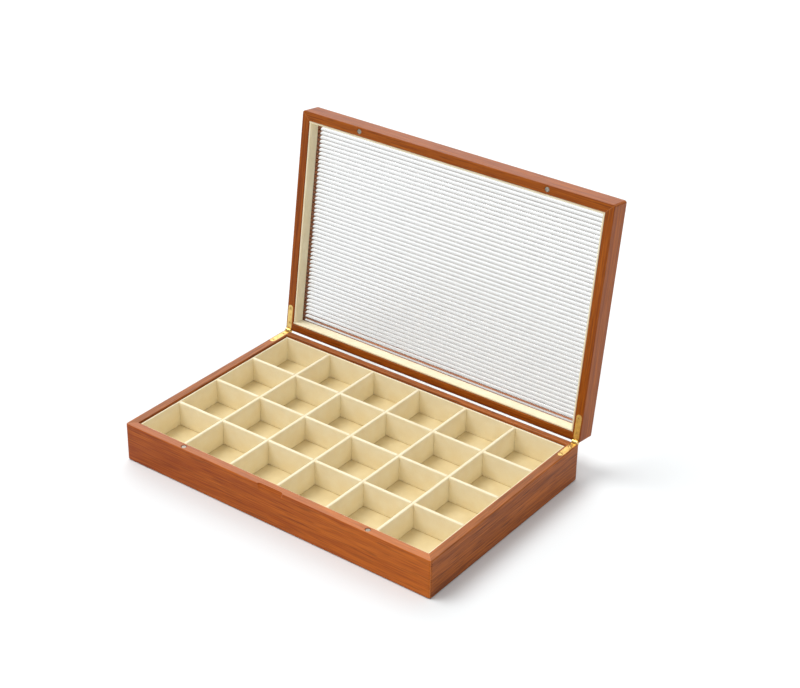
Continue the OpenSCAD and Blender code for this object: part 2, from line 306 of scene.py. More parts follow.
def plate(name, outline, low, thick, material=None):
    """Flat prism: an outline of (x, y) points raised from a height."""
    return prism(name, outline, lambda a, b, c: (a, b, low + c), thick, material)


def box_cutter(low, high):
    """Plain box to cut with."""
    return plate("cutter", rectangle(low, high), low[2], high[2] - low[2])


def wave(x, y, z, scale):
    """Unevenness from -1 to 1 at a place, always the same there, in waves a metre."""
    return noise.noise(Vector((x, y, z)) * scale)


def lathe(name, profile, place, steps=ROUND_STEPS, material=None):
    """Closed turned form: profile points (radius, height) about the local z axis, put in space by place."""
    bm = bmesh.new()
    rings = []
    for k in range(steps):
        angle = 2 * math.pi * k / steps
        ring = [Vector((r * math.cos(angle), r * math.sin(angle), h)) for r, h in profile]
        rings.append([bm.verts.new(place(p)) for p in ring])
    for k in range(steps):
        a, b = rings[k], rings[(k + 1) % steps]
        for i in range(len(profile) - 1):
            bm.faces.new((a[i], b[i], b[i + 1], a[i + 1]))
    return from_bmesh(name, bm, material)


# Node helpers


def add_node(tree, kind, inputs=None, **settings):
    """New node in a tree. An input given a socket is linked to it, and one given a value is set."""
    made = tree.nodes.new(kind)
    for key, value in settings.items():
        setattr(made, key, value)
    for key, value in (inputs or {}).items():
        if isinstance(value, bpy.types.NodeSocket):
            tree.links.new(value, made.inputs[key])
        else:
            made.inputs[key].default_value = value
    return made


class Shader:
    """A material with a principled shader and short calls to add the nodes that feed it."""

    def __init__(self, name, **sockets):
        self.material = bpy.data.materials.new(name)
        self.material.use_nodes = True
        self.tree = self.material.node_tree
        self.out = self.tree.nodes["Principled BSDF"]
        for socket, value in sockets.items():
            self.out.inputs[socket.replace("_", " ")].default_value = value

    def node(self, kind, inputs=None, **settings):
        return add_node(self.tree, "ShaderNode" + kind, inputs, **settings)

    def feed(self, socket, value):
        self.tree.links.new(value, self.out.inputs[socket])

    def place(self, turn=(0, 0, 0), shift=(0, 0, 0)):
        """Object coordinates, turned and shifted."""
        coords = self.node("TexCoord").outputs["Object"]
        return self.node("Mapping", {"Vector": coords, "Rotation": turn, "Location": shift}).outputs[0]

    def grain(self, vector, scale, detail=3, roughness=0.55, distortion=0.0):
        """Noise stretched by a scale for each axis, in cells a metre."""
        stretched = self.node("VectorMath", {0: vector, 1: scale}, operation="MULTIPLY").outputs[0]
        inputs = {
            "Vector": stretched,
            "Scale": 1.0,
            "Detail": detail,
            "Roughness": roughness,
            "Distortion": distortion,
        }
        return self.node("TexNoise", inputs).outputs["Fac"]

    def spread(self, value, low, high, to_low=0.0, to_high=1.0):
        """Maps low..high to to_low..to_high, clamped."""
        inputs = {"Value": value, "From Min": low, "From Max": high, "To Min": to_low, "To Max": to_high}
        return self.node("MapRange", inputs).outputs[0]

    def math(self, operation, a, b):
        return self.node("Math", {0: a, 1: b}, operation=operation).outputs[0]

    def mix(self, share, a, b):
        """Colour a where the share is 0 and colour b where it is 1."""
        return self.node("Mix", {0: share, 6: a, 7: b}, data_type="RGBA").outputs[2]

    def upward(self):
        """How far the unbumped surface faces up: 1 on top, 0 on the sides."""
        return self.node("SeparateXYZ", {0: self.node("TexCoord").outputs["Normal"]}).outputs["Z"]

    def edge_mask(self, radius):
        """1 along rounded and crisp edges, 0 on flat faces."""
        soft = self.node("Bevel", {"Radius": radius}, samples=6).outputs[0]
        plain = self.node("NewGeometry").outputs["Normal"]
        facing = self.node("VectorMath", {0: soft, 1: plain}, operation="DOT_PRODUCT").outputs["Value"]
        return self.spread(facing, 0.995, 0.8)

    def bump(self, height, distance, strength):
        inputs = {"Height": height, "Distance": distance, "Strength": strength}
        self.feed("Normal", self.node("Bump", inputs).outputs[0])


def rgb(red, green, blue):
    """Linear colour from the 0 to 255 values that a screen shows."""
    def linear(c):
        c /= 255
        return c / 12.92 if c <= 0.04045 else ((c + 0.055) / 1.055) ** 2.4
    return (linear(red), linear(green), linear(blue), 1)


# Materials

OPEN_PORE = rgb(78, 34, 12)
# Paler colour painted on upward faces as a highlight
PAINTED_TOP_HIGHLIGHT = rgb(240, 190, 152)
# Paler colour along edges: partly worn stain, partly painted highlight
WORN_AND_LIT_EDGE = rgb(226, 156, 110)

# How far apart in the grain two rails are cut
GRAIN_APART = (0.31, 0.17, 0.05)

# Dark and light grain, share of open pores, drift of tone along the board, and painted highlight on its upper
# face
# The front and side boards are lit and shaded copies of one wood: the front's paler tone is painted light,
# the sides' darker tone painted shade
LIT_FRONT_BOARD = {
    "dark": rgb(142, 57, 6),
    "light": rgb(194, 102, 26),
    "open_grain": 0.4,
    "drift": 0.08,
    "top_highlight": 0.2,
}
SHADED_SIDE_BOARD = {
    "dark": rgb(104, 46, 6),
    "light": rgb(180, 98, 34),
    "open_grain": 0.65,
    "drift": 0,
    "top_highlight": 0.1,
}
LID_BOARD = {
    "dark": rgb(120, 49, 3),
    "light": rgb(174, 92, 16),
    "open_grain": 0.5,
    "drift": 0,
    "top_highlight": 0,
}


def stained_wood(name, turn, shift, dark, light, open_grain, drift, top_highlight):
    """Reddish-brown hardwood under a thin satin finish; after the turn, the grain runs along x.

    The drift makes the board paler towards one end; the last share paints a highlight on its upward faces.
    """
    s = Shader(name, Specular_IOR_Level=0.15)
    along = s.place(turn, shift)
    figure = s.grain(along, (5, 170, 170), detail=4, distortion=0.5)
    streak = s.grain(along, (28, 1150, 1150), detail=4, roughness=0.6)
    fibre = s.grain(along, (70, 1500, 1500), detail=2)
    pore = s.grain(along, (50, 1000, 1000), detail=1)

    tone = s.math("ADD", s.math("MULTIPLY", figure, 0.35), s.math("MULTIPLY", streak, 0.65))
    length = s.node("SeparateXYZ", {0: s.place(turn)}).outputs["X"]
    # Paler towards one end of the board
    tone = s.math("ADD", tone, s.spread(length, -HALF_W, HALF_W, -drift, drift))
    body = s.mix(s.spread(tone, 0.38, 0.62), dark, light)
    body = s.mix(s.spread(fibre, 0.35, 0.7, 0, 0.25), body, light)

    dashes = s.math("MULTIPLY", s.spread(pore, 0.56, 0.68), s.spread(figure, 0.35, 0.6, 0.4, 1.0))
    body = s.mix(s.math("MULTIPLY", dashes, open_grain), body, OPEN_PORE)
    # Painted highlight: the upward faces turn paler, where light falls on them
    body = s.mix(s.spread(s.upward(), 0.8, 0.98, 0, top_highlight), body, PAINTED_TOP_HIGHLIGHT)
    # Paler edges: partly stain worn off, partly a painted highlight where the rounded edges catch light
    edge_wear_and_highlight = s.math("MULTIPLY", s.edge_mask(0.7 * MM), s.spread(fibre, 0.4, 0.7, 0.2, 0.6))
    body = s.mix(edge_wear_and_highlight, body, WORN_AND_LIT_EDGE)

    s.feed("Base Color", body)
    s.feed("Roughness", s.spread(fibre, 0.3, 0.7, 0.3, 0.44))
    height = s.math("SUBTRACT", s.math("MULTIPLY", fibre, 0.5), dashes)
    s.bump(height, 0.04 * MM, 0.5)
    return s.material


def velvet(name, low, high):
    """Short cream pile on board: soft clouds of tone, fine fibres and a sheen at grazing angles."""
    s = Shader(
        name,
        Roughness=0.92,
        Specular_IOR_Level=0.1,
        Sheen_Weight=0.3,
        Sheen_Roughness=0.5,
        Sheen_Tint=rgb(255, 250, 232),
    )
    place = s.place()
    cloud = s.grain(place, (90, 90, 90), detail=3)
    pile = s.grain(place, (2600, 2600, 2600), detail=3, roughness=0.7)
    body = s.mix(s.spread(cloud, 0.35, 0.65, 0.0, 1.0), low, high)
    body = s.mix(s.spread(pile, 0.35, 0.65, 0.0, 0.14), body, rgb(214, 190, 140))
    s.feed("Base Color", body)
    s.bump(pile, 0.12 * MM, 0.6)
    return s.material


def felt_cloth():
    """Dark brown pressed felt with matted fibres."""
    s = Shader("felt", Roughness=0.97, Specular_IOR_Level=0.1, Sheen_Weight=0.25, Sheen_Roughness=0.6)
    place = s.place()
    mat = s.grain(place, (900, 900, 900), detail=5, roughness=0.75)
    body = s.mix(s.spread(mat, 0.3, 0.7), rgb(70, 42, 28), rgb(112, 74, 52))
    s.feed("Base Color", body)
    s.bump(mat, 0.25 * MM, 0.8)
    return s.material


def polished_brass():
    """Yellow brass with faint drawing lines, small stains and a highlight painted along its edges."""
    s = Shader("brass", Metallic=1.0)
    place = s.place()
    lines = s.grain(place, (5000, 300, 300), detail=2)
    stain = s.grain(place, (350, 350, 350), detail=3)
    body = s.mix(s.spread(stain, 0.45, 0.75, 0, 0.6), rgb(230, 196, 122), rgb(186, 142, 74))
    # Painted highlight: paler colour along the edges
    body = s.mix(s.math("MULTIPLY", s.edge_mask(0.25 * MM), 0.5), body, rgb(255, 232, 168))
    s.feed("Base Color", body)
    s.feed("Roughness", s.spread(stain, 0.3, 0.7, 0.27, 0.4))
    s.bump(lines, 0.01 * MM, 0.5)
    return s.material


def nickel_plate():
    """Bright nickel with fine scuffs from meeting its pair."""
    s = Shader("nickel", Metallic=1.0)
    place = s.place()
    scuff = s.grain(place, (2500, 900, 900), detail=3)
    s.feed("Base Color", s.mix(s.spread(scuff, 0.4, 0.7), rgb(172, 164, 152), rgb(118, 108, 96)))
    s.feed("Roughness", s.spread(scuff, 0.35, 0.65, 0.22, 0.4))
    s.bump(scuff, 0.01 * MM, 0.5)
    return s.material


def clear_acrylic():
    """Clear ribbed sheet, faintly grey and slightly hazy, with shade painted dark into the valleys between
    its ribs.
    """
    s = Shader("acrylic", Transmission_Weight=1.0, IOR=1.49)
    # Clear colour, and a dark one painted into the valleys as shade
    clear, dark = (0.99, 0.985, 0.98, 1), (0.2, 0.18, 0.165, 1)
    valley = s.node("Attribute", attribute_name="valley").outputs["Fac"]
    s.feed("Base Color", s.mix(s.spread(valley, 0.78, 0.97), clear, dark))
    haze = s.grain(s.place(), (60, 60, 60), detail=3)
    s.feed("Roughness", s.spread(haze, 0.35, 0.7, 0.02, 0.07))
    s.bump(haze, 0.02 * MM, 0.2)
    return s.material


def panel_board():
    """Plain thin board with a straight grain, mostly covered."""
    s = Shader("panel board", Roughness=0.7)
    along = s.place(shift=(0.3, 0.2, 0.1))
    fibre = s.grain(along, (20, 700, 700), detail=3)
    s.feed("Base Color", s.mix(s.spread(fibre, 0.35, 0.65), rgb(128, 86, 54), rgb(166, 120, 80)))
    s.bump(fibre, 0.05 * MM, 0.4)
    return s.material


def side_wood(part, side):
    """Wood for one rail, with its own stretch of grain along its length."""
    quarter = SIDES[side]
    number = quarter
    tilt = 0
    # The front rails take the lit copy of the wood, the other rails the darker, shaded copy
    board = LIT_FRONT_BOARD if side == "front" else SHADED_SIDE_BOARD
    if part == "lid":
        number = quarter + len(SIDES)
        tilt = OPEN_ANGLE
        board = LID_BOARD
    turn = 0 if quarter % 2 == 0 else -QUARTER
    shift = [apart * number for apart in GRAIN_APART]
    return stained_wood(f"wood {part} {side}", (tilt, 0, turn), shift, **board)


VELVET = velvet("velvet", rgb(248, 235, 200), rgb(252, 242, 212))
# The floor's velvet is a darker, more yellow copy of the walls' velvet: painted shade on the same cloth
SHADED_FLOOR_VELVET = velvet("velvet floor", rgb(222, 203, 156), rgb(230, 213, 169))
BRASS = polished_brass()
NICKEL = nickel_plate()


# Placing


def stand_for(obj, node):
    """The piece takes the place of a CAD node on its body; the lid's pieces are made shut and swung open."""
    body = frame["nodes"][node]["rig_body"]
    if body == "lid":
        obj.data.transform(LID_SWING)
    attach(obj, body)
    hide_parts(node)


def finished(node):
    """Name of the piece that stands for a node."""
    return node + "_finished"


# Wooden rails


def swept_rail(name, quarter, outline, material):
    """Mitred rail: an outline of (inward, height) points runs along the side and half round each corner."""
    half_length, half_depth = (HALF_W, HALF_D) if quarter % 2 == 0 else (HALF_D, HALF_W)
    turn = Matrix.Rotation(QUARTER * quarter, 4, "Z")
    bm = bmesh.new()
    rings = []
    for end in (-1, 1):
        for k in range(CORNER_STEPS + 1):
            share = k / CORNER_STEPS
            angle = (share if end > 0 else 1 - share) * QUARTER / 2
            ring = []
            for inward, height in outline:
                along, across = half_length - inward, inward
                if inward < CORNER_R:
                    reach = CORNER_R - inward
                    along = half_length - CORNER_R + reach * math.sin(angle)
                    across = CORNER_R - reach * math.cos(angle)
                ring.append(bm.verts.new(turn @ Vector((end * along, across - half_depth, height))))
            rings.append(ring)
    closed_skin(bm, rings)
    return from_bmesh(name, bm, material)


def rear_edge_cutter(height, way):
    """Takes the rear mating edge down to its larger radius, right across the case; way is 1 on a top face."""
    outline = [(OVER, way * OVER), (-REAR_R, way * OVER)]
    outline += arc((-REAR_R, -way * REAR_R), REAR_R, way * QUARTER, -way * QUARTER, 8)
    outline.append((OVER, -way * REAR_R))
    return prism(
        "cutter",
        outline,
        lambda a, b, c: (c - HALF_W - OVER, HALF_D + a, height + b),
        2 * (HALF_W + OVER),
    )


def leaf_outline(side, grow=0.0):
    """Plan of a hinge leaf from the axis to its round end; side is 1 on the right and -1 on the left."""
    half = LEAF_HALF + grow
    reach = AXIS.y - LEAF[0].y - half + grow
    outline = [(half, 0), (-half, 0)] + arc((0, -reach), half, math.pi, math.pi, 16)
    return [(side * LEAF_X + x, AXIS.y + y) for x, y in outline]


def mortise_cutters(side, part):
    """Seats for a leaf and its barrel in the rails."""
    middle = side * LEAF_X
    room_before, room_below = 0.5 * MM, 0.3 * MM
    if part == "lid":
        seat_low = LID_LOW - OVER
        wide = LEAF_HALF + 3 * SEAT_FIT
        low = (middle - wide, AXIS.y - STOP_SWEEP, seat_low)
        high = (middle + wide, HALF_D + OVER, AXIS.z + STOP_SWEEP)
    else:
        seat_low = BASE_TOP - LEAF_T
        wide = LEAF_HALF + SEAT_FIT
        low = (middle - wide, AXIS.y - BARREL_R - room_before, AXIS.z - BARREL_R - room_below)
        high = (middle + wide, HALF_D + OVER, BASE_TOP + OVER)
    seat = plate("cutter", leaf_outline(side, SEAT_FIT), seat_low, LEAF_T + OVER)
    return [seat, box_cutter(low, high)]


def scoop_cutter():
    """Round tool that leans in at the rim, runs along and leaves the finger scoop."""
    run = SCOOP_W / 2 - math.sqrt(SCOOP_R**2 - (SCOOP_R - SCOOP_IN) ** 2)
    outline = arc((run, -SCOOP_R), SCOOP_R, -QUARTER, math.pi, 24)
    outline += arc((-run, -SCOOP_R), SCOOP_R, QUARTER, math.pi, 24)
    lean = Matrix.Rotation(-math.atan(SCOOP_IN / SCOOP_DOWN), 4, "X")
    lay = Matrix.Translation((0, SCOOP_IN - HALF_D, BASE_TOP)) @ lean
    return prism("cutter", outline, lambda a, b, c: lay @ Vector((a, b, c - 2 * SCOOP_DOWN)), 4 * SCOOP_DOWN)


def magnet_cutters(face, way):
    """Holes for the two magnets, each with a softened mouth; way is 1 where they run up from the face."""
    x = (MAGNETS[1].x - MAGNETS[0].x - MAGNET_D) / 2
    y = (MAGNETS[0].y + MAGNETS[1].y) / 2
    radius, soft, deep = MAGNET_D / 2 + SEAT_FIT, 0.25 * MM, MAGNET_SUNK + MAGNET_T
    profile = [
        (0, -OVER),
        (radius + soft, -OVER),
        (radius + soft, 0),
        (radius, soft),
        (radius, deep),
        (0, deep),
    ]
    return [
        lathe("cutter", profile, lambda p, s=s: Vector((s * x + p.x, y + p.y, face + way * p.z)))
        for s in (-1, 1)
    ]


def rail_seats(part, side, face, way):
    """What is cut into a rail's mating face: magnet holes, or the swing's radius and the leaf seats."""
    if side == "front":
        return magnet_cutters(face, -way)
    cutters = [rear_edge_cutter(face, way)]
    if side != "left":
        cutters += mortise_cutters(1, part)
    if side != "right":
        cutters += mortise_cutters(-1, part)
    return cutters


def base_rail(side):
    """One rail of the base: rebate below, rounded rim, and the seats of what it carries."""
    eased, inner_rim = 0.3 * MM, 0.6 * MM
    outline = rounded_outline([
        (0, BASE_LOW, FOOT_R),
        (REBATE, BASE_LOW, eased),
        (REBATE, BOTTOM_PANEL[1].z, 0),
        (RAIL, BOTTOM_PANEL[1].z, eased),
        (RAIL, BASE_TOP, inner_rim),
        (0, BASE_TOP, RIM_R),
    ])
    node = f"base_{side}_rail"
    obj = swept_rail(finished(node), SIDES[side], outline, side_wood("base", side))
    cutters = rail_seats("base", side, BASE_TOP, 1)
    if side == "front":
        cutters.append(scoop_cutter())
    cut(obj, cutters)
    stand_for(soften(obj), node)


def lid_rail(side):
    """One rail of the lid: a groove for the panel, a slim lip outside it and the seats of what it carries."""
    inner_rim, eased, inner_lip = 0.5 * MM, 0.15 * MM, 0.7 * MM
    groove_in = PANEL[0].x + HALF_W - GROOVE_FIT
    groove_low, groove_high = PANEL[0].z - GROOVE_FIT, PANEL[1].z + GROOVE_FIT
    outline = rounded_outline([
        (0, LID_LOW, RIM_R),
        (RAIL, LID_LOW, inner_rim),
        (RAIL, groove_low, eased),
        (groove_in, groove_low, 0),
        (groove_in, groove_high, 0),
        (RAIL, groove_high, eased),
        (RAIL, LID_TOP, inner_lip),
        (0, LID_TOP, FOOT_R),
    ])
    node = f"lid_{side}_rail"
    obj = swept_rail(finished(node), SIDES[side], outline, side_wood("lid", side))
    cut(obj, rail_seats("lid", side, LID_LOW, -1))
    stand_for(soften(obj), node)


# Velvet boards


def velvet_board(node, foot, top):
    """Velvet-wrapped board on edge, with a faint wave where the pile lies unevenly.

    It fills the box of its node. Foot and top are the radii of its long edges, as shares of its thickness.
    """
    box = made_box(node)
    size, middle = box[1] - box[0], (box[0] + box[1]) / 2
    length, thick = max(size.x, size.y), min(size.x, size.y)
    low, high = box[0].z, box[1].z
    outline = rounded_outline([
        (-thick / 2, low, thick * foot),
        (thick / 2, low, thick * foot),
        (thick / 2, high, thick * top),
        (-thick / 2, high, thick * top),
    ])
    steps = max(2, round(length / BOARD_STEP))
    bm = bmesh.new()
    rings = []
    for k in range(steps + 1):
        along = (k / steps - 0.5) * length
        ring = []
        for across, height in outline:
            narrowed = across * (1 - PILE_WAVE / thick * 2 * (1 + wave(along, across * 4, height, 130)))
            dip = 0
            if height > (low + high) / 2:
                dip = PILE_WAVE * (0.5 + wave(along, 7, across, 90))
            x, y = (along, narrowed) if size.x > size.y else (-narrowed, along)
            ring.append(bm.verts.new((middle.x + x, middle.y + y, height - dip)))
        rings.append(ring)
    closed_skin(bm, rings)
    return from_bmesh(finished(node), bm, VELVET)


def stand_velvet(obj, node):
    """Smooths a velvet piece and lets it take its node's place."""
    stand_for(soften(obj, 50, False), node)


def liner(part, side):
    """One velvet-covered strip inside the rails, rounder on top in the base and below in the lid."""
    node = f"{part}_liner_{side}"
    foot, top = (0.4, 0.45) if part == "base" else (0.45, 0.2)
    stand_velvet(velvet_board(node, foot, top), node)


def divider(node, crossing):
    """One divider of the grid with the slots that lock it into those that cross it."""
    foot, top, slot_edge = 0.3, 0.36, 0.22 * MM
    obj = velvet_board(node, foot, top)
    low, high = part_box(node)
    size, middle = high - low, (low + high) / 2
    axis = 0 if size.x > size.y else 1
    thick = min(size.x, size.y)
    from_z, to_z = (middle.z, high.z + OVER) if axis == 0 else (low.z - OVER, middle.z)
    cutters = []
    for other in crossing:
        spot = sum(p[axis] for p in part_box(other)) / 2
        start = [middle.x - thick, middle.y - thick, from_z]
        end = [middle.x + thick, middle.y + thick, to_z]
        start[axis] = spot - thick / 2 - SEAT_FIT
        end[axis] = spot + thick / 2 + SEAT_FIT
        cutters.append(box_cutter(start, end))
    cut(obj, cutters)
    stand_velvet(bevelled(obj, slot_edge, 60), node)


def floor_board():
    """Velvet-covered card under the grid, its top very slightly uneven."""
    low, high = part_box("floor_board")
    across, deep = 80, 52
    bm = bmesh.new()
    rows = []
    for j in range(deep + 1):
        row = []
        for i in range(across + 1):
            x = low.x + (high.x - low.x) * i / across
            y = low.y + (high.y - low.y) * j / deep
            dip = PILE_WAVE * (1 + wave(x, y, 3, 60))
            row.append(bm.verts.new((x, y, high.z - dip)))
        rows.append(row)
    for a, b in zip(rows, rows[1:]):
        for i in range(across):
            bm.faces.new((a[i], a[i + 1], b[i + 1], b[i]))
    made = bmesh.ops.extrude_face_region(bm, geom=bm.faces[:])
    for v in made["geom"]:
        if isinstance(v, bmesh.types.BMVert):
            v.co.z = low.z
    # Covered in the darker copy of the velvet, which paints shade
    stand_velvet(from_bmesh(finished("floor_board"), bm, SHADED_FLOOR_VELVET), "floor_board")


def felt_sheet():
    """Pressed felt under the base, its cut edge slightly ragged."""
    low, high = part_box("base_felt")
    corners = rounded_outline(rectangle(low, high, FOOT_R), 4)
    outline = []
    for here, there in zip(corners, corners[1:] + corners[:1]):
        steps = max(1, round((there - here).length / FELT_STEP))
        outline += [here.lerp(there, k / steps) for k in range(steps)]
    frayed = 0.0004
    ragged = [p * (1 - frayed * (1 + wave(p.x, p.y, 0, 700))) for p in outline]
    obj = plate(finished("base_felt"), ragged, low.z, high.z - low.z, felt_cloth())
    stand_for(soften(obj, 50, False), "base_felt")


def bottom_panel():
    """The board in the rebate is shown as its own solid, because next to nothing of it is seen."""
    mesh = frame["nodes"]["bottom_panel"].data
    mesh.materials.clear()
    mesh.materials.append(panel_board())


# Brass and nickel


def cross_bar(profile, x0, x1):
    """Prism along x of a (y, z) outline about the hinge axis."""
    return prism("bar", profile, lambda a, b, c: (x0 + c, AXIS.y + a, AXIS.z + b), x1 - x0)


def ear_profile():
    """Barrel section with its square stop corner up and to the rear."""
    square = [(BARREL_R, 0), (BARREL_R, BARREL_R), (0, BARREL_R)]
    return square + arc((0, 0), BARREL_R, QUARTER, 3 * QUARTER, 31)[1:-1]


def countersinks(side, face, way):
    """Conical seats for the two screws of a leaf; way is 1 where the screws go down from the face."""
    through, mouth = 4 * MM, 0.04 * MM
    profile = [
        (0, -through),
        (SHANK_HOLE_R, -through),
        (SHANK_HOLE_R, -SINK_DEEP),
        (SINK_R, mouth),
        (SINK_R, OVER),
        (0, OVER),
    ]
    sinks = []
    for reach in SCREW_AT:
        spot = Matrix.Translation((side * LEAF_X, HALF_D - reach, face))
        lay = spot @ Matrix.Diagonal((1, 1, way, 1))
        sinks.append(lathe("cutter", profile, lambda p, lay=lay: lay @ p, 32))
    return sinks


def base_leaf(name, side):
    """Plate with two ears, whose square corners are the stops."""
    x0, x1 = side * LEAF_X - LEAF_HALF, side * LEAF_X + LEAF_HALF
    leaf = plate(name, leaf_outline(side), BASE_TOP - LEAF_T, LEAF_T, BRASS)
    union(leaf, [cross_bar(ear_profile(), x0, x1)])
    spare = 0.2 * MM
    gap = box_cutter(
        (x0 + EAR_W, AXIS.y - BARREL_R - spare, BASE_TOP - FAR_OVER),
        (x1 - EAR_W, AXIS.y + FAR_OVER, BASE_TOP + FAR_OVER),
    )
    return cut(leaf, [gap])


def lid_leaf(name, side):
    """Plate with one knuckle between the ears, and a shoulder on each side of it that meets a stop."""
    x0, x1 = side * LEAF_X - LEAF_HALF, side * LEAF_X + LEAF_HALF
    inner = EAR_W + EAR_GAP
    stop = BARREL_R * (math.sin(OPEN_ANGLE) - math.cos(OPEN_ANGLE)) + SEAT_FIT
    leaf = plate(name, leaf_outline(side), LID_LOW, LEAF_T, BRASS)
    union(leaf, [cross_bar(circle(BARREL_R), x0 + inner, x1 - inner)])
    shoulders = [
        box_cutter((a, AXIS.y - stop, LID_LOW - OVER), (b, AXIS.y + FAR_OVER, LID_LOW + FAR_OVER))
        for a, b in ((x0 - OVER, x0 + inner), (x1 - inner, x1 + OVER))
    ]
    return cut(leaf, shoulders)


def hinge_leaf(part, side_name):
    """Leaf with its knuckles, pin bore, screw seats and softened edges."""
    side = HINGES[side_name]
    node = f"hinge_leaf_{part}_{side_name}"
    if part == "base":
        leaf = base_leaf(finished(node), side)
        bore_r, face, way = EAR_BORE_R, BASE_TOP, 1
    else:
        leaf = lid_leaf(finished(node), side)
        bore_r, face, way = KNUCKLE_BORE_R, LID_LOW, -1
    reach, edge_r = LEAF_HALF + OVER, 0.14 * MM
    bore = cross_bar(circle(bore_r), side * LEAF_X - reach, side * LEAF_X + reach)
    cut(leaf, [bore] + countersinks(side, face, way))
    bevelled(leaf, edge_r, 40)
    stand_for(soften(leaf, 40), node)


def hinge_pin(side_name):
    """Pin with slightly domed ends."""
    node = "hinge_pin_" + side_name
    low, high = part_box(node)
    radius, length = (high.z - low.z) / 2, high.x - low.x
    dome = 0.12 * MM
    crown_r, crown = radius * 0.6, dome * 0.3
    profile = [
        (0, 0),
        (crown_r, crown),
        (radius, dome),
        (radius, length - dome),
        (crown_r, length - crown),
        (0, length),
    ]
    lay = Matrix.Translation((low.x, AXIS.y, AXIS.z)) @ Matrix.Rotation(QUARTER, 4, "Y")
    obj = lathe(finished(node), profile, lambda p: lay @ p, 32, BRASS)
    stand_for(soften(obj, 50), node)


def magnets(part):
    """Two plated discs with chamfered rims."""
    node = part + "_magnets"
    low, high = made_box(node)
    radius, thick, chamfer = MAGNET_D / 2, high.z - low.z, 0.3 * MM
    profile = [
        (0, 0),
        (radius - chamfer, 0),
        (radius, chamfer),
        (radius, thick - chamfer),
        (radius - chamfer, thick),
        (0, thick),
    ]
    x, y = high.x - radius, (low.y + high.y) / 2
    discs = [
        lathe(finished(node), profile, lambda p, s=s: p + Vector((s * x, y, low.z)), material=NICKEL)
        for s in (-1, 1)
    ]
    bm = bmesh.new()
    for disc in discs:
        bm.from_mesh(disc.data)
    bpy.data.objects.remove(discs[1])
    bm.to_mesh(discs[0].data)
    bm.free()
    stand_for(soften(discs[0], 30), node)


# Repeated forms, laid out by geometry nodes


class Layout:
    """A geometry-nodes tree with named inputs and short calls to add its nodes."""

    def __init__(self, name, **inputs):
        self.tree = bpy.data.node_groups.new(name, "GeometryNodeTree")
        self.tree.interface.new_socket("Geometry", in_out="OUTPUT", socket_type="NodeSocketGeometry")
        self.keys = {}
        for label, kind in inputs.items():
            made = self.tree.interface.new_socket(label, in_out="INPUT", socket_type="NodeSocket" + kind)
            self.keys[label] = made.identifier
        self.start = self.tree.nodes.new("NodeGroupInput")
        self.end = self.tree.nodes.new("NodeGroupOutput")

    def given(self, label):
        """The tree's own input with this label."""
        return self.start.outputs[label]

    def node(self, kind, inputs=None, **settings):
        return add_node(self.tree, kind, inputs, **settings)

    def math(self, operation, a, b=0.0):
        return self.node("ShaderNodeMath", {0: a, 1: b}, operation=operation).outputs[0]

    def finish(self, geometry):
        """Ends the tree with real geometry in its material."""
        real = self.node("GeometryNodeRealizeInstances", {0: geometry}).outputs[0]
        inputs = {"Geometry": real, "Material": self.given("Material")}
        dressed = self.node("GeometryNodeSetMaterial", inputs).outputs[0]
        self.tree.links.new(dressed, self.end.inputs[0])

    def make(self, name, **values):
        """Runs the tree with these input values and keeps the result as one mesh."""
        obj = link(name, bpy.data.meshes.new(name), None)
        nodes = obj.modifiers.new("layout", "NODES")
        nodes.node_group = self.tree
        for label, value in values.items():
            nodes[self.keys[label]] = value
        return applied(obj)


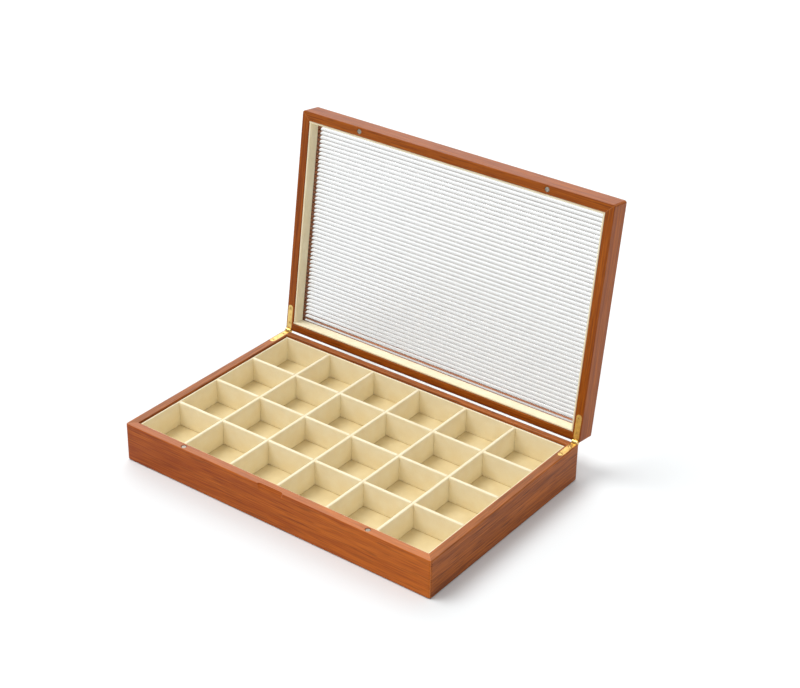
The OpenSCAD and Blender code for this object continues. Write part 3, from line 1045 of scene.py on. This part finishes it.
def rib_layout():
    """Sheet with shallow round ribs below it: a grid bulged rib by rib, thickened and closed.

    Its valley attribute rises from 0 on a rib's crest to 1 in the groove beside it.
    """
    t = Layout(
        "ribs",
        Length="Float",
        Depth="Float",
        Pitch="Float",
        Height="Float",
        Thickness="Float",
        Count="Int",
        Steps="Int",
        Material="Material",
    )
    pitch, height, thickness = t.given("Pitch"), t.given("Height"), t.given("Thickness")
    half_pitch = t.math("DIVIDE", pitch, 2.0)
    step = t.math("DIVIDE", pitch, t.given("Steps"))
    half_step = t.math("DIVIDE", step, 2.0)
    zone = t.math("MULTIPLY", t.given("Count"), pitch)
    half_zone = t.math("DIVIDE", zone, 2.0)
    rows = t.math("MULTIPLY", t.given("Count"), t.given("Steps"))
    grid = t.node("GeometryNodeMeshGrid", {
        "Size X": t.given("Length"),
        "Size Y": t.math("ADD", zone, t.math("MULTIPLY", step, 2.0)),
        "Vertices X": 2,
        "Vertices Y": t.math("ADD", rows, 3.0),
    }).outputs[0]
    at = t.node("ShaderNodeSeparateXYZ", {0: t.node("GeometryNodeInputPosition").outputs[0]})
    x, y = at.outputs["X"], at.outputs["Y"]

    # How far a point is from its own rib's crest; the nudge gives a point between two ribs to the second
    nudge = 1e-5
    turns = t.math("ADD", t.math("DIVIDE", t.math("ADD", y, half_zone), pitch), nudge)
    aside = t.math("MULTIPLY", t.math("SUBTRACT", t.math("FRACT", turns), 0.5), pitch)

    # How far the rib's arc stands out there
    squares = t.math("ADD", t.math("MULTIPLY", half_pitch, half_pitch), t.math("MULTIPLY", height, height))
    radius = t.math("DIVIDE", squares, t.math("MULTIPLY", height, 2.0))
    left_over = t.math("SUBTRACT", t.math("MULTIPLY", radius, radius), t.math("MULTIPLY", aside, aside))
    bulge = t.math("SUBTRACT", t.math("SQRT", left_over), t.math("SUBTRACT", radius, height))

    # The first and last rows are the plain borders and move out to the sheet's edges
    border = t.math("GREATER_THAN", t.math("ABSOLUTE", y), t.math("ADD", half_zone, half_step))
    ribs = t.math("SUBTRACT", 1.0, border)
    edge_y = t.math("MULTIPLY", t.math("SIGN", y), t.math("DIVIDE", t.given("Depth"), 2.0))
    new_y = t.math("ADD", t.math("MULTIPLY", y, ribs), t.math("MULTIPLY", edge_y, border))
    new_z = t.math("MULTIPLY", t.math("MULTIPLY", bulge, ribs), -1.0)
    valley = t.math("DIVIDE", t.math("ABSOLUTE", aside), half_pitch)
    marked = t.node("GeometryNodeStoreNamedAttribute", {
        "Geometry": grid, "Name": "valley", "Value": t.math("MULTIPLY", valley, ribs),
    }, data_type="FLOAT").outputs[0]
    spot = t.node("ShaderNodeCombineXYZ", {"X": x, "Y": new_y, "Z": new_z}).outputs[0]
    ribbed = t.node("GeometryNodeSetPosition", {"Geometry": marked, "Position": spot}).outputs[0]

    # The ribbed face raised into a sheet, its top made level and its underside closed
    sheet = t.node("GeometryNodeExtrudeMesh", {
        "Mesh": ribbed, "Offset Scale": thickness, "Individual": False,
    })
    flat = t.node("ShaderNodeCombineXYZ", {"X": x, "Y": y, "Z": thickness}).outputs[0]
    level = t.node("GeometryNodeSetPosition", {
        "Geometry": sheet.outputs["Mesh"], "Selection": sheet.outputs["Top"], "Position": flat,
    }).outputs[0]
    under = t.node("GeometryNodeFlipFaces", {"Mesh": ribbed}).outputs[0]
    join = t.node("GeometryNodeJoinGeometry")
    t.tree.links.new(level, join.inputs[0])
    t.tree.links.new(under, join.inputs[0])
    merge = {"Geometry": join.outputs[0], "Distance": SHEET_WELD}
    t.finish(t.node("GeometryNodeMergeByDistance", merge).outputs[0])
    return t


def ribbed_panel():
    """Clear ribbed sheet in its groove. It casts no shadow, because clear glass would cast a black one."""
    size = PANEL[1] - PANEL[0]
    obj = rib_layout().make(
        finished("ribbed_panel"),
        Length=size.x,
        Depth=size.y,
        Pitch=RIB_PITCH,
        Height=RIB_H,
        Thickness=size.z - RIB_H,
        Count=RIB_COUNT,
        Steps=RIB_STEPS,
        Material=clear_acrylic(),
    )
    obj.data.transform(Matrix.Translation((0, 0, PANEL[0].z + RIB_H)))
    obj.visible_shadow = False
    stand_for(soften(obj, 25, False), "ribbed_panel")


def screw_shape():
    """Countersunk screw, its head up at height 0: cross recess, tapered head and a fine spiral thread."""
    turns, steps = 24, 24
    thread_pitch = 5.6 * MM / turns
    head_edge, head_drop, neck, point, tip_r = 0.12 * MM, 0.06 * MM, 0.2 * MM, 0.9 * MM, 0.1 * MM
    bm = bmesh.new()
    rings = []
    for k in range(steps):
        profile = [
            (0, 0),
            (SCREW_HEAD_R - head_edge, 0),
            (SCREW_HEAD_R, -head_drop),
            (SCREW_CREST_R, -SCREW_HEAD_H),
        ]
        for i in range(turns):
            root = -SCREW_HEAD_H - neck - thread_pitch * (i + k / steps)
            profile += [(SCREW_CORE_R, root), (SCREW_CREST_R, root - thread_pitch / 2)]
        profile += [(SCREW_CORE_R, point - SCREW_LENGTH), (tip_r, -SCREW_LENGTH), (0, -SCREW_LENGTH)]
        angle = 2 * math.pi * k / steps
        rings.append([bm.verts.new((r * math.cos(angle), r * math.sin(angle), h)) for r, h in profile])
    for a, b in zip(rings, rings[1:] + rings[:1]):
        for i in range(len(a) - 1):
            bm.faces.new((b[i], a[i], a[i + 1], b[i + 1]))
    obj = from_bmesh("screw", bm, BRASS)
    arm, half_slot, deep = 0.85 * MM, 0.2 * MM, 0.5 * MM
    bars = [box_cutter((-x, -y, -deep), (x, y, OVER)) for x, y in ((arm, half_slot), (half_slot, arm))]
    return cut(obj, [union(bars[0], [bars[1]])])


def screw_layout():
    """One screw at each corner of a rectangle, each turned by its own chance angle."""
    t = Layout("screws", Across="Float", Apart="Float", Screw="Object", Material="Material")
    points = t.node("GeometryNodeMeshGrid", {
        "Size X": t.given("Across"), "Size Y": t.given("Apart"), "Vertices X": 2, "Vertices Y": 2,
    }).outputs[0]
    screw = t.node("GeometryNodeObjectInfo", {"Object": t.given("Screw")}).outputs["Geometry"]
    turn = t.node("FunctionNodeRandomValue", {
        "Min": (0, 0, 0), "Max": (0, 0, 1.5), "Seed": 3,
    }, data_type="FLOAT_VECTOR").outputs[0]
    t.finish(t.node("GeometryNodeInstanceOnPoints", {
        "Points": points, "Instance": screw, "Rotation": turn,
    }).outputs[0])
    return t


def hinge_screws(layout, screw, part):
    """The four screws of one body, their heads flush with the leaves."""
    node = part + "_hinge_screws"
    obj = layout.make(
        finished(node),
        Across=2 * LEAF_X,
        Apart=SCREW_AT[1] - SCREW_AT[0],
        Screw=screw,
        Material=BRASS,
    )
    reach = (SCREW_AT[0] + SCREW_AT[1]) / 2
    face, roll = (BASE_TOP, 0) if part == "base" else (LID_LOW, math.pi)
    lay = Matrix.Translation((0, HALF_D - reach, face)) @ Matrix.Rotation(roll, 4, "X")
    obj.data.transform(lay)
    stand_for(soften(obj, 30, False), node)


# The whole case

for side in SIDES:
    base_rail(side)
    lid_rail(side)
    liner("base", side)
    liner("lid", side)
lengthwise = sorted(n for n in frame["nodes"] if n.startswith("lengthwise"))
crosswise = sorted(n for n in frame["nodes"] if n.startswith("crosswise"))
for node in lengthwise:
    divider(node, crosswise)
for node in crosswise:
    divider(node, lengthwise)
floor_board()
felt_sheet()
for side in HINGES:
    hinge_leaf("base", side)
    hinge_leaf("lid", side)
    hinge_pin(side)
magnets("base")
magnets("lid")
ribbed_panel()
screw = screw_shape()
corners = screw_layout()
hinge_screws(corners, screw, "base")
hinge_screws(corners, screw, "lid")
bpy.data.objects.remove(screw)
bottom_panel()


# Camera, light and floor

FLOOR_WHITE = (0.862, 0.886, 0.894, 1)

# Direction of each soft light, the facings at which it starts and is full, its strength and its falloff
SOFT_LIGHTS = {
    "overhead": ((0, 0, 1), 0, 1, 0.64, "LINEAR"),
    "front": ((0, -1, 0), 0, 1, 0.3, "LINEAR"),
    "right": ((1, 0, 0), 0, 1, 0.3, "LINEAR"),
    "rear panel": ((-0.52, 0.70, 0.55), 0.7, 0.96, 1.6, "SMOOTHSTEP"),
}


def photo_camera():
    """The photograph's view: its direction, roll, distance and lens."""
    azimuth, elevation, roll = math.radians(36.43), math.radians(29.33), math.radians(0.939)
    target = Vector((0.0606, -0.0232, 0.1383))
    distance = 1.2214
    lens = 80.76
    back = Vector((
        math.sin(azimuth) * math.cos(elevation),
        -math.cos(azimuth) * math.cos(elevation),
        math.sin(elevation),
    ))
    level = Vector((0, 0, 1)).cross(back).normalized()
    upright = back.cross(level)
    right = level * math.cos(roll) + upright * math.sin(roll)
    up = upright * math.cos(roll) - level * math.sin(roll)
    camera = bpy.data.objects.new("camera", bpy.data.cameras.new("camera"))
    bpy.context.scene.collection.objects.link(camera)
    camera.data.lens = lens
    camera.data.clip_start, camera.data.clip_end = 0.05, 60
    turn = Matrix((right, up, back)).transposed().to_4x4()
    camera.matrix_world = Matrix.Translation(target + back * distance) @ turn
    bpy.context.scene.camera = camera


def white_floor():
    """Plain white sweep that the box stands on."""
    half = 8
    bm = bmesh.new()
    bm.faces.new([bm.verts.new((x, y, 0)) for x, y, _ in rectangle((-half, -half), (half, half))])
    s = Shader("floor", Base_Color=FLOOR_WHITE, Roughness=0.9, Specular_IOR_Level=0.0)
    from_bmesh("floor", bm, s.material)


def sky():
    """Soft light from above, the front and the right, with a broad white panel high up behind the left."""
    world = bpy.data.worlds.new("studio")
    bpy.context.scene.world = world
    world.use_nodes = True
    tree = world.node_tree
    direction = add_node(tree, "ShaderNodeTexCoord").outputs["Generated"]
    total = 0.0
    for towards, starts, full, strength, falloff in SOFT_LIGHTS.values():
        inputs = {0: direction, 1: Vector(towards).normalized()}
        facing = add_node(tree, "ShaderNodeVectorMath", inputs, operation="DOT_PRODUCT").outputs["Value"]
        inputs = {"Value": facing, "From Min": starts, "From Max": full, "To Min": 0, "To Max": strength}
        light = add_node(tree, "ShaderNodeMapRange", inputs, interpolation_type=falloff).outputs[0]
        total = add_node(tree, "ShaderNodeMath", {0: total, 1: light}).outputs[0]
    background = tree.nodes["Background"]
    background.inputs["Color"].default_value = (1, 1, 1, 1)
    tree.links.new(total, background.inputs["Strength"])


def key_light():
    """Broad soft key from the upper left front; it throws the shadow to the right and back."""
    towards = Vector((-0.467, -0.245, 1))
    lamp = bpy.data.lights.new("key", "SUN")
    lamp.energy = 1.66
    lamp.angle = math.radians(32)
    key = bpy.data.objects.new("key", lamp)
    bpy.context.scene.collection.objects.link(key)
    key.rotation_mode = "QUATERNION"
    key.rotation_quaternion = towards.to_track_quat("Z", "Y")


photo_camera()
white_floor()
sky()
key_light()
bpy.context.scene.view_settings.view_transform = "Standard"
